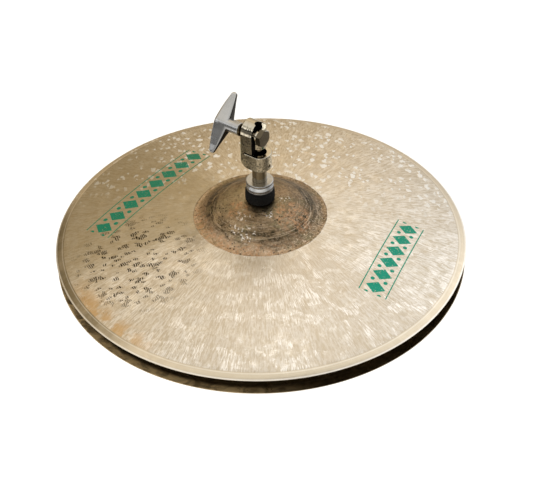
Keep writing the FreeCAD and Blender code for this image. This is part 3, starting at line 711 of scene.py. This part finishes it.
# ---- metal and nylon finishes of the hardware ----
def chrome(name, tint, cuts=None):
    """Polished plate: faint buffing swirls and small scratches. A clamp is given with its cuts,
    which are painted dark as shade and stay dull, and its sides carry a painted golden reflection
    of the bronze with dark mottles of painted reflection."""
    w = RoundFinish(name)
    haze = w.noise(160.0, 4.0, 0.6, 0.5)
    buffed = w.add("Mapping", {"Vector": w.place, "Rotation": (0.3, 0.9, 0.5),
                               "Scale": (3000.0, 120.0, 240.0)})
    scratch = w.noise(1.0, 3.0, 0.6, vector=buffed)
    base = w.mix(w.ramp(haze, 0.4, 0.7), tint, toned(tint, 0.86))
    rough = w.plus(w.ramp(haze, 0.35, 0.75, 0.02, 0.06),
                   w.ramp(scratch, 0.62, 0.75, 0.0, 0.06))
    if cuts:
        # painted reflection: the sides yellowed like the bronze they face, with dark mottles
        side = w.ramp(w.math("ABSOLUTE", w.axes(w.facing())[2]), 0.90, 0.60)
        base = w.mix(w.times(side, 0.6), base, (0.92, 0.82, 0.62))
        mottled_reflection = w.ramp(w.noise(480.0, 3.0, 0.62, 1.6), 0.50, 0.57, 0.0, 0.80)
        base = w.mix(w.times(mottled_reflection, side), base, toned(tint, 0.22))
        # painted shade: the cuts dark
        painted_shade = sawn(w, **cuts)
        base = w.mix(painted_shade, base, (0.012, 0.011, 0.010))
        rough = w.blend(painted_shade, rough, 0.6)
    ripple = w.plus(w.noise(240.0, 2.0, 0.4), w.times(scratch, 0.10))
    return w.finish(Base_Color=base, Metallic=1.0, Roughness=rough,
                    Normal=w.bump(ripple, 0.00013, 0.8, bevel=0.0004))


def sawn(w, collar_top, slit, slit_end, slot, bore, rod_bore):
    """Mask of the cuts: the slit over the collar, the clamp's slot and the bores round the rod.

    The slit's end and the slot's sides are told by their distance along the clamp bolt.
    """
    along = w.axes(w.add("Mapping", {"Vector": w.place, "Rotation": (0.0, 0.0, BOLT_TURN)},
                         vector_type="TEXTURE"))[0]
    edge = 0.06 * MM
    over = w.above(w.z, collar_top + edge)
    low = w.below(w.z, collar_top + slit + edge)
    in_slit = w.times(over, low, w.above(along, slit_end))
    in_slot = w.times(w.above(along, slot[0] - edge), w.below(along, slot[1] + edge), over)
    in_bore = w.times(w.below(w.radius, bore + edge), low)
    return w.most(in_slit, in_slot, in_bore, w.below(w.radius, rod_bore + edge))


def turned_plate(name, tint, rough_low, rough_high, pitch=2600.0, streak=0.35):
    """Satin plate on a turned piece: fine rings from the tool, both on its ends and round it."""
    w = RoundFinish(name)
    rings = w.vector(w.times(w.radius, pitch), w.times(w.z, pitch), w.times(w.cos, 1.5))
    lines = w.noise(1.0, 3.0, 0.65, vector=rings)
    cloud = w.noise(210.0, 4.0, 0.6, 0.4)
    base = w.mix(w.ramp(lines, 0.35, 0.68), toned(tint, 0.84), tint)
    base = w.wash(base, cloud, 0.50, 0.78, 0.35, toned(tint, 0.66))
    rough = w.ramp(cloud, 0.3, 0.7, rough_low, rough_high)
    return w.finish(Base_Color=base, Metallic=1.0, Roughness=rough, Tangent=w.tangent,
                    Normal=w.bump(lines, 0.00003, 0.8, bevel=0.00025), Anisotropic=streak)


def cast_plate(name, tint, texture=1.0, gloss=0.24, inward=None):
    """Plated casting: soft orange-peel dimples and a fine grain. The faces that look inward, at the
    clamp, are painted dark as shade."""
    w = Finish(name)
    peel = w.noise(900.0, 3.0, 0.55)
    grain = w.noise(4200.0, 3.0, 0.7)
    rub = w.noise(110.0, 3.0, 0.5, 0.5)
    base = w.mix(w.ramp(rub, 0.35, 0.70), tint, toned(tint, 0.90))
    if inward is not None:
        # painted shade on the faces that look in at the clamp
        shaded_inward = w.dot(w.facing(), inward)
        base = w.wash(base, shaded_inward, 0.75, 0.88, 1.0, (0.020, 0.018, 0.016))
    height = w.plus(peel, w.times(grain, 0.3))
    return w.finish(Base_Color=base, Metallic=1.0,
                    Roughness=w.ramp(rub, 0.35, 0.70, gloss, gloss + 0.06),
                    Normal=w.bump(height, 0.000012 * texture, 0.8, bevel=0.0003))


def nylon(name, tint):
    """Moulded nylon: a fine even grain with slight flow marks."""
    w = Finish(name)
    grain = w.noise(2600.0, 4.0, 0.65)
    flow = w.noise(260.0, 3.0, 0.5, 1.5)
    base = w.mix(w.ramp(flow, 0.35, 0.7), tint, toned(tint, 1.7))
    return w.finish(Base_Color=base, Roughness=w.ramp(grain, 0.3, 0.7, 0.38, 0.55),
                    Normal=w.bump(grain, 0.00004, 0.7))


# ---- wing nut ----
def bolt_frame():
    """The wing nut's own frame: X towards the clamp, Z along the span, origin on the bolt."""
    joint = next(j for j in frame["record"]["behaviour"]["joints"] if j["name"] == "wing_nut_turn")
    inward = -Vector(joint["axis"])
    turn = Matrix.Rotation(WING_TURN, 4, "X")
    heading = Matrix.Rotation(math.atan2(inward.y, inward.x), 4, "Z")
    return np.array(Matrix.Translation(Vector(joint["pos_m"])) @ heading @ turn)


def carried(points, matrix):
    """Points taken through a 4 x 4 matrix."""
    return points @ matrix[:3, :3].T + matrix[:3, 3]


def wing_blade(matrix, outer_x, inner_x, half_span):
    """The wing as rounded sections across its span.

    At a height t its section is a superellipse, wide from the outer to the inner edge along the
    bolt and as thick as the barrel in the middle, thinning towards the tips. The outer edge leans
    in with the square of t, and the inner one runs out straight from beside the barrel.
    """
    outer_lean, inner_lean, straight = 4.6 * MM, 5.2 * MM, 2.7 * MM
    t = half_span * np.sin(np.linspace(-0.5 * np.pi, 0.5 * np.pi, 121))
    share = np.abs(t) / half_span
    outer = outer_x + outer_lean * share ** 2
    inner = inner_x - inner_lean * np.clip((np.abs(t) - straight) / (half_span - straight), 0, 1)
    cap = np.sqrt(np.clip(1.0 - ((share - 0.93) / 0.07).clip(0.0, 1.0) ** 2, 0.0, 1.0))
    middle, half = 0.5 * (outer + inner), 0.5 * (inner - outer) * (0.35 + 0.65 * cap) * (cap > 0)
    thick = np.interp(share, WING_SHARES, WING_THICKNESS) * cap
    angle = np.linspace(0.0, TAU, 96, endpoint=False)
    across, through = (np.sign(wave) * np.abs(wave) ** (2.0 / 7.0)
                       for wave in (np.cos(angle), np.sin(angle)))
    points = np.stack([middle[:, None] + half[:, None] * across,
                       thick[:, None] * through,
                       t[:, None] + 0.0 * across], axis=-1)
    return carried(points, matrix)


def wing_barrel(matrix, far_x, near_x, radius, bore, edge):
    """The nut's barrel: a closed line of face, rounded rim and bore turned about the bolt."""
    line = np.concatenate([
        [(bore, near_x)], arc((radius - edge, near_x - edge), edge, 0.0, 0.5 * np.pi, 9),
        arc((radius - edge, far_x + edge), edge, 0.5 * np.pi, np.pi, 9), [(bore, far_x)]])
    points = turned(spread(np.concatenate([line, line[:1]]), 0.3 * MM)[:-1], 96)
    return carried(points[..., [2, 1, 0]] * (1.0, 1.0, -1.0), matrix)


def wing_nut_mesh(name, settings):
    """Blade and barrel as one mesh of two closed surfaces that run into each other, with doubles
    merged and faces turned outwards."""
    matrix = bolt_frame()
    node = frame["nodes"]["wing_nut"]
    corners = np.empty(len(node.data.vertices) * 3, dtype=np.float32)
    node.data.vertices.foreach_get("co", corners)
    local = (corners.reshape(-1, 3) - matrix[:3, 3]) @ matrix[:3, :3]
    outer_x, near_x, half_span = local[:, 0].min(), local[:, 0].max(), local[:, 2].max()
    inner_x = near_x - 10.6 * MM    # where the blade ends and the bare barrel starts
    far_x = inner_x - 9.0 * MM      # the barrel's end within the blade
    blade = wing_blade(matrix, outer_x, inner_x, half_span)
    barrel = wing_barrel(matrix, far_x, near_x, 5.5 * MM, 2.6 * MM, settings.wing_edge)
    made = bmesh.new()
    made.from_mesh(grid_mesh(name, blade, wrap_rows=False))
    made.from_mesh(grid_mesh(name + "_barrel", barrel))
    bmesh.ops.remove_doubles(made, verts=made.verts, dist=1e-7)
    bmesh.ops.dissolve_degenerate(made, edges=made.edges, dist=1e-7)
    bmesh.ops.recalc_face_normals(made, faces=made.faces)
    joined = bpy.data.meshes.new(name)
    made.to_mesh(joined)
    made.free()
    return joined


# ---- operators ----
class HIHAT_OT_cymbals(bpy.types.Operator):
    """Make the two hammered and lathed cymbals"""
    bl_idname = "hihat.cymbals"
    bl_label = "Cymbals"

    def execute(self, context):
        settings = context.scene.hihat_cymbals
        for node, body, seed, upright in (
                ("top_cymbal", "upper_cymbal", 11, True),
                ("bottom_cymbal", "lower_cymbal", 23, False)):
            mesh = cymbal_mesh(node + "_sheet", settings, node, seed, upright)
            finish = bronze(node + "_bronze", settings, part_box(node)[1].x, upright)
            put(node + "_sheet", mesh, finish, body, node)
        return {"FINISHED"}


class HIHAT_OT_felts(bpy.types.Operator):
    """Make the pressed felts that hold the cymbals"""
    bl_idname = "hihat.felts"
    bl_label = "Felts"

    def execute(self, context):
        settings = context.scene.hihat_felts
        finish = wool("black_wool", settings.felt_colour)
        for node, body, edge, seed in (
                ("upper_felt", "clutch", 2.2, 3), ("lower_felt", "clutch", 1.2, 4),
                ("seat_felt", "seat", 1.4, 5)):
            mesh = felt_mesh(node + "_ring", node, settings, edge * MM, seed)
            put(node + "_ring", mesh, finish, body, node)
        return {"FINISHED"}


class HIHAT_OT_wing_nut(bpy.types.Operator):
    """Make the wing nut that tightens the clutch"""
    bl_idname = "hihat.wing_nut"
    bl_label = "Wing nut"

    def execute(self, context):
        settings = context.scene.hihat_clutch
        mesh = wing_nut_mesh("wing_nut_casting", settings)
        mesh.set_sharp_from_angle(angle=math.radians(50))
        inward = tuple(bolt_frame()[:3, 0])
        finish = cast_plate("cast_nickel", settings.nickel_colour, inward=inward)
        put("wing_nut_casting", mesh, finish, "wing", "wing_nut")
        return {"FINISHED"}


class HIHAT_OT_hardware(bpy.types.Operator):
    """Finish the clutch, nuts, rod and seat, whose shapes come from the model"""
    bl_idname = "hihat.hardware"
    bl_label = "Clutch and seat finishes"

    def execute(self, context):
        settings = context.scene.hihat_clutch
        cuts = {"collar_top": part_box("clutch_body")[0].z + settings.collar_height,
                "slit": 1.6 * MM, "slit_end": -8.3 * MM, "slot": (-0.5 * MM, 1.1 * MM),
                "bore": 6.4 * MM, "rod_bore": 3.1 * MM}
        polished = chrome("polished_chrome", settings.chrome_colour)
        clamp = chrome("polished_clamp", settings.chrome_colour, cuts)
        satin = turned_plate("satin_nickel_turned", settings.nickel_colour, 0.18, 0.28,
                             streak=0.85)
        cast = cast_plate("plated_bolt", toned(settings.steel_colour, 0.42), 0.5, 0.06)
        ground = turned_plate("ground_steel", settings.steel_colour, 0.09, 0.16, pitch=4200.0)
        black = nylon("black_nylon", settings.nylon_colour)
        for finish, names in (
                (clamp, ("clutch_body",)), (polished, ("seat_cup", "seat_stem")),
                (satin, ("adjusting_nut", "lock_ring", "felt_washer", "lower_washer",
                         "lower_nut", "seat_washer")),
                (cast, ("wing_washer", "clamp_bolt")),
                (ground, ("clutch_tube", "pull_rod", "collar_screw")),
                (black, ("rod_bush", "lock_insert", "guide_sleeve"))):
            for name in names:
                for material_slot in frame["nodes"][name].material_slots:
                    material_slot.material = finish
        return {"FINISHED"}


class HIHAT_OT_studio(bpy.types.Operator):
    """Set up the floor, the lights and the camera"""
    bl_idname = "hihat.studio"
    bl_label = "Studio"

    def execute(self, context):
        settings = context.scene.hihat_studio
        make_floor(settings)
        make_room()
        make_lights()
        make_camera(settings)
        context.scene.view_settings.view_transform = "Standard"
        return {"FINISHED"}


# ---- studio ----
def make_floor(settings):
    """A wide sheet of pale paper: a flat square grid."""
    side = np.linspace(-9.0, 9.0, 13)
    x, y = np.meshgrid(side, side, indexing="ij")
    points = np.stack([x, y, np.full_like(x, -settings.floor_drop)], axis=-1)
    floor = placed("floor", grid_mesh("floor", points, False, False))
    w = Finish("pale_paper")
    tooth = w.noise(300.0, 3.0)
    base = w.mix(tooth, toned(settings.floor_colour, 0.985), settings.floor_colour)
    floor.data.materials.append(w.finish(Base_Color=base, Roughness=0.9,
                                         Normal=w.bump(tooth, 0.0002, 0.3)))


def make_room():
    """The world: a pale ceiling over a dim horizon, open to the right, tan behind on the left.
    What shows of it behind the floor is plain pale grey."""
    world = bpy.data.worlds.new("pale_room")
    world.use_nodes = True
    w = Wiring(world.node_tree)
    heading = w.add("TexCoord", output="Generated")

    def lobe(toward, low, high, first=0.0, last=1.0):
        """A smooth change from first to last as the world's direction nears the given one."""
        return w.ramp(w.dot(heading, Vector(toward).normalized()), low, high, first, last)

    right, left = (0.62, 0.62, 0.42), (-0.50, 0.84, 0.20)
    total = w.times(lobe((0.0, 0.0, 1.0), 0.40, 0.70, 0.06, 0.68),
                    lobe((-0.50, 0.82, 0.20), 0.78, 0.95, 1.0, 0.55),
                    lobe((0.20, -0.30, 0.93), 0.90, 0.985, 1.0, 0.10))
    for toward, low, high, strength in (
            (right, 0.55, 0.95, 0.64), ((-0.10, 0.96, 0.26), 0.84, 0.99, 0.36),
            ((-0.72, 0.52, 0.42), 0.55, 0.95, 0.24), ((0.0, -0.88, 0.47), 0.50, 0.95, 0.42),
            ((-0.60, -0.78, 0.06), 0.80, 0.98, 0.30)):
        total = w.plus(total, lobe(toward, low, high, last=strength))
    tint = w.mix(lobe(right, 0.55, 0.95), (1.0, 0.965, 0.885), (1.0, 1.0, 1.0))
    tint = w.mix(lobe(left, 0.45, 0.90), tint, (1.0, 0.80, 0.52))
    seen = w.add("LightPath", output="Is Camera Ray")
    back = w.tree.nodes["Background"]
    w.feed(back.inputs["Color"], w.mix(seen, tint, (0.90, 0.90, 0.90)))
    w.feed(back.inputs["Strength"], w.most(total, seen))
    bpy.context.scene.world = world


def make_lights():
    """Soft boxes: overhead, behind on the right, in front, on the left, a small one for sparkle
    on edges, and one that only lights the floor."""
    middle, under = Vector((0.0, 0.0, 0.1)), Vector((0.0, 0.0, -1.0))
    for name, place, target, width, height, power in (
            ("top_light", (-0.5, 0.3, 2.4), middle, 2.0, 2.0, 2.5),
            ("right_light", (1.9, 1.2, 1.3), middle, 1.2, 1.0, 2.4),
            ("front_light", (-0.5, -1.7, 2.0), middle, 1.6, 0.8, 1.1),
            ("left_light", (-1.6, -0.2, 1.05), middle, 0.7, 0.5, 1.2),
            ("spark_light", (0.1, 0.45, 1.7), middle, 0.12, 0.12, 0.36),
            ("floor_light", (0.0, 0.0, -0.5), under, 9.0, 9.0, 150.0)):
        data = bpy.data.lights.new(name, "AREA")
        data.shape = "RECTANGLE"
        data.size, data.size_y, data.energy = width, height, power
        lamp = placed(name, data)
        lamp.location = place
        lamp.rotation_euler = (target - Vector(place)).to_track_quat("-Z", "Y").to_euler()


def make_camera(settings):
    """The camera stands in front and above, looking down at the clutch and slightly rolled."""
    data = bpy.data.cameras.new("camera")
    data.lens, data.sensor_width = settings.lens, 36.0
    data.clip_start, data.clip_end = 0.01, 50.0
    camera = placed("camera", data)
    forward = Vector((0.00465, 0.76645, -0.64229)).normalized()
    right = forward.cross(Vector((0.02351, 0.64203, 0.76632))).normalized()
    rise = right.cross(forward)
    turn = Matrix((right, rise, -forward)).transposed().to_4x4()
    camera.matrix_world = Matrix.Translation((0.0, -0.77282, 0.70642)) @ turn
    bpy.context.scene.camera = camera


# ---- panel and registration ----
class HIHAT_PT_panel(bpy.types.Panel):
    """Lists the steps that build the hi hat's looks"""
    bl_label = "Hi Hat"
    bl_idname = "HIHAT_PT_panel"
    bl_space_type = "VIEW_3D"
    bl_region_type = "UI"
    bl_category = "Hi Hat"

    def draw(self, context):
        for operator in OPERATORS:
            self.layout.operator(operator.bl_idname)
        for group in GROUPS:
            settings = getattr(context.scene, group)
            for key in settings.bl_rna.properties.keys():
                if key not in ("rna_type", "name"):
                    self.layout.prop(settings, key)


GROUPS = {"hihat_cymbals": CymbalSettings, "hihat_felts": FeltSettings,
          "hihat_clutch": ClutchSettings, "hihat_studio": StudioSettings}
OPERATORS = (HIHAT_OT_cymbals, HIHAT_OT_felts, HIHAT_OT_wing_nut, HIHAT_OT_hardware,
             HIHAT_OT_studio)
CLASSES = (*GROUPS.values(), *OPERATORS, HIHAT_PT_panel)


def register():
    for made in CLASSES:
        bpy.utils.register_class(made)
    for name, group in GROUPS.items():
        setattr(bpy.types.Scene, name, PointerProperty(type=group))


def unregister():
    for name in GROUPS:
        delattr(bpy.types.Scene, name)
    for made in reversed(CLASSES):
        bpy.utils.unregister_class(made)


def main():
    """Runs each step once."""
    register()
    bpy.ops.hihat.cymbals()
    bpy.ops.hihat.felts()
    bpy.ops.hihat.wing_nut()
    bpy.ops.hihat.hardware()
    bpy.ops.hihat.studio()


if __name__ == "__main__":
    main()
